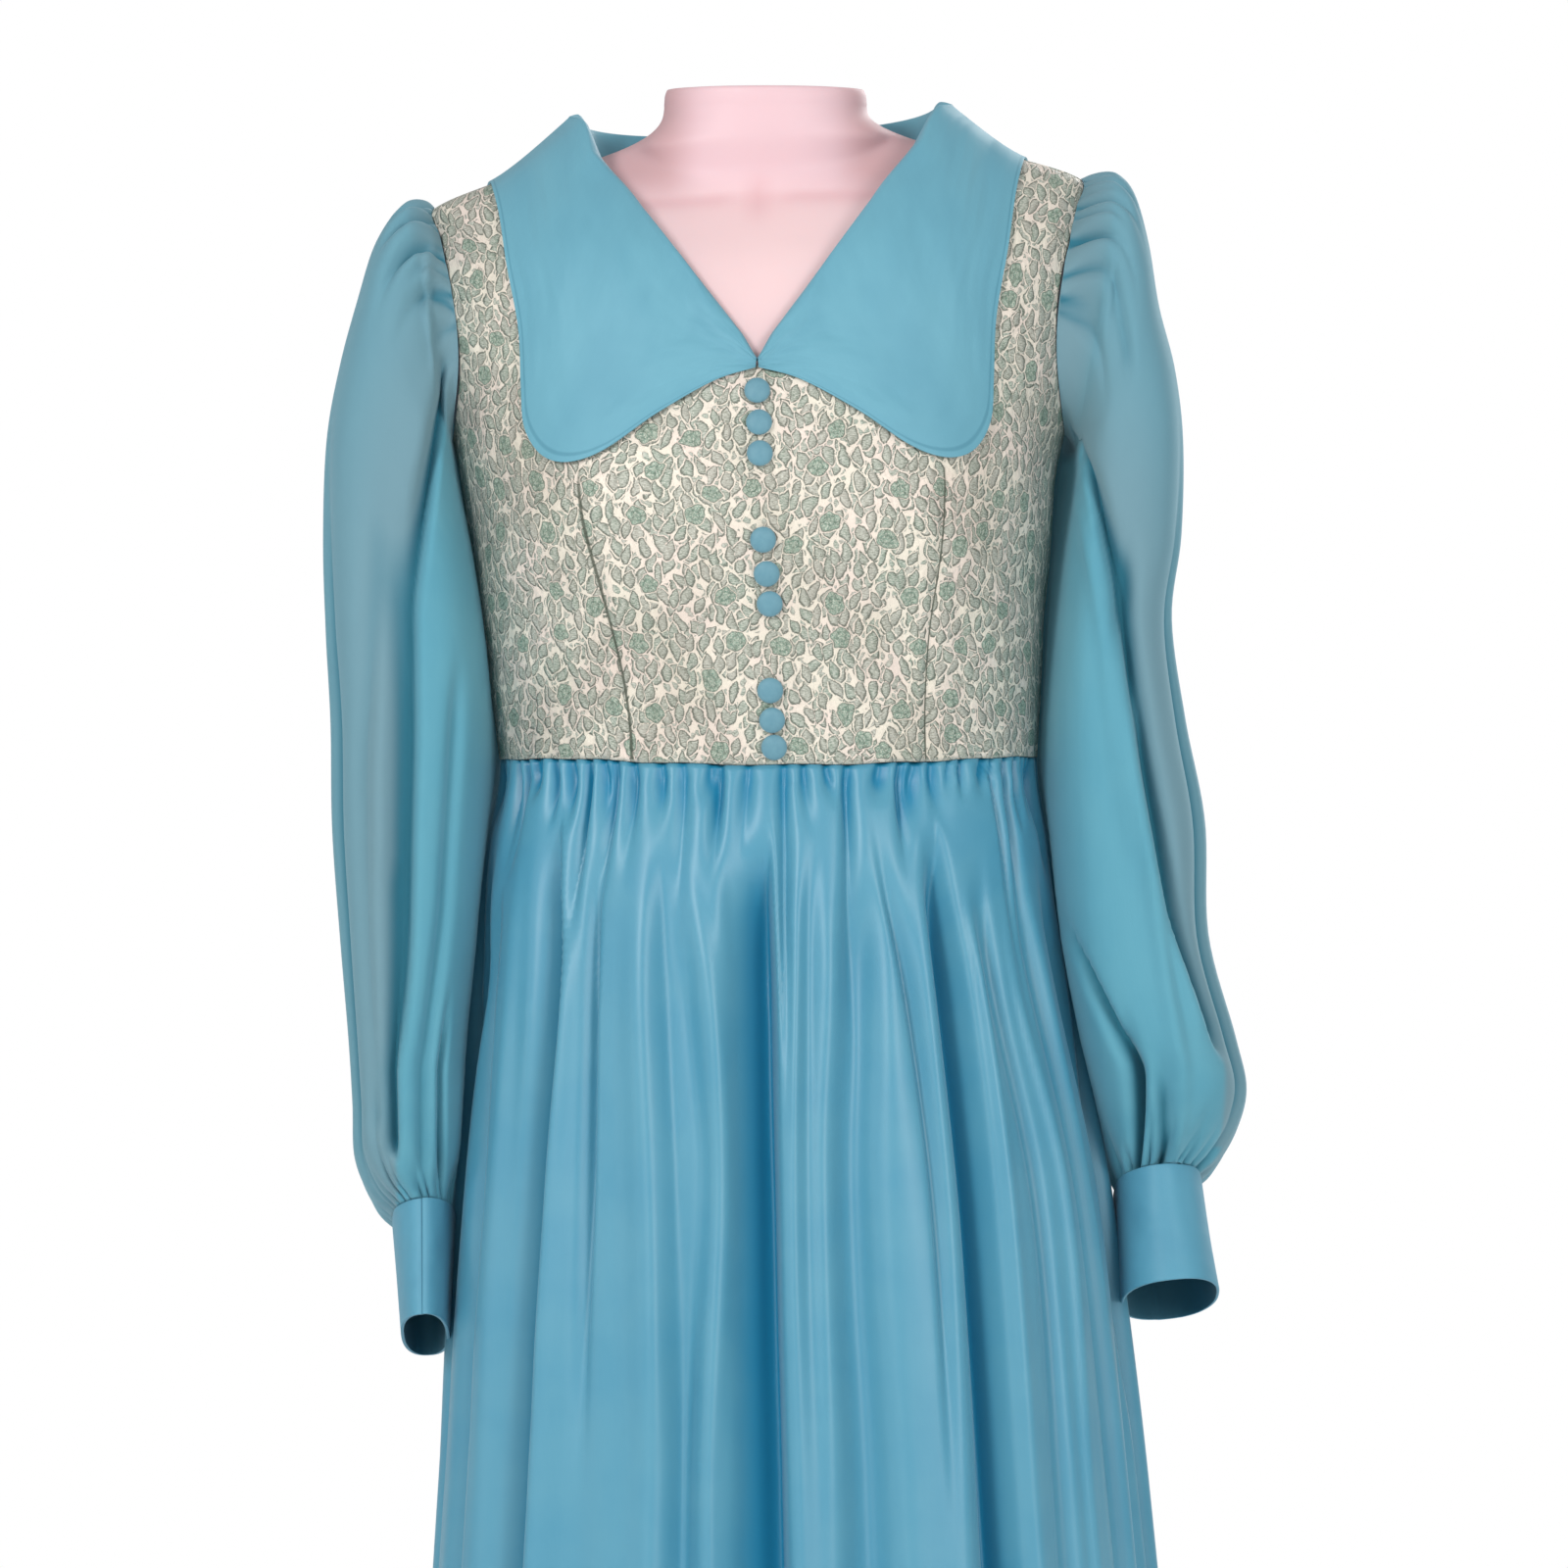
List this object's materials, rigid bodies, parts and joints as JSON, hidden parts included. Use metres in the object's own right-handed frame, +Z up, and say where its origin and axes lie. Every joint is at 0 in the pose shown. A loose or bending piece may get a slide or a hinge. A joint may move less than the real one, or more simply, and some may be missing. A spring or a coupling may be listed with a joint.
{
  "type": "prairie dress on a dress form",
  "caption": "Long-sleeved full-length dress with a wide rounded collar, brocade bodice and gathered skirt, on a limbless dress form with a pole and round base.",
  "frame": {"origin": "on the floor, at the centre of the stand's base", "axes": "+Z up, -Y towards the front of the dress, +X towards the wearer's left"},
  "size_m": [0.4839, 0.4144, 1.4212],
  "materials": {
    "brocade": "woven brocade with metallic thread",
    "collar_cloth": "smooth, low sheen",
    "skirt_cloth": "soft gloss",
    "chiffon": "sheer, matt",
    "zip_nylon": "satin",
    "zip_metal": "satin",
    "form_skin": "satin",
    "stand_metal": "satin"
  },
  "bodies": {
    "dress_and_form": {"stand_base": "stand_metal", "stand_pole": "stand_metal", "form_torso": "form_skin", "bodice_front": "brocade", "bodice_back_left": "brocade", "bodice_back_right": "brocade", "skirt_front": "skirt_cloth", "skirt_back_left": "skirt_cloth", "skirt_back_right": "skirt_cloth", "collar_left": "collar_cloth", "collar_right": "collar_cloth", "sleeve_left": "chiffon", "sleeve_right": "chiffon", "cuff_left": "collar_cloth", "cuff_right": "collar_cloth", "button_1": "collar_cloth", "button_2": "collar_cloth", "button_3": "collar_cloth", "button_4": "collar_cloth", "button_5": "collar_cloth", "button_6": "collar_cloth", "button_7": "collar_cloth", "button_8": "collar_cloth", "button_9": "collar_cloth", "zip_teeth": "zip_nylon", "zip_slider": "zip_metal"},
    "pull_tab": {"zip_pull": "zip_metal"}
  },
  "joints": [
    {"name": "pull_tab_hinge", "type": "hinge", "parent": "dress_and_form", "child": "pull_tab", "pos_m": [-0.0055, 0.07752, 1.36718], "axis": [1, 0, 0], "range_deg": [0, 135]}
  ]
}
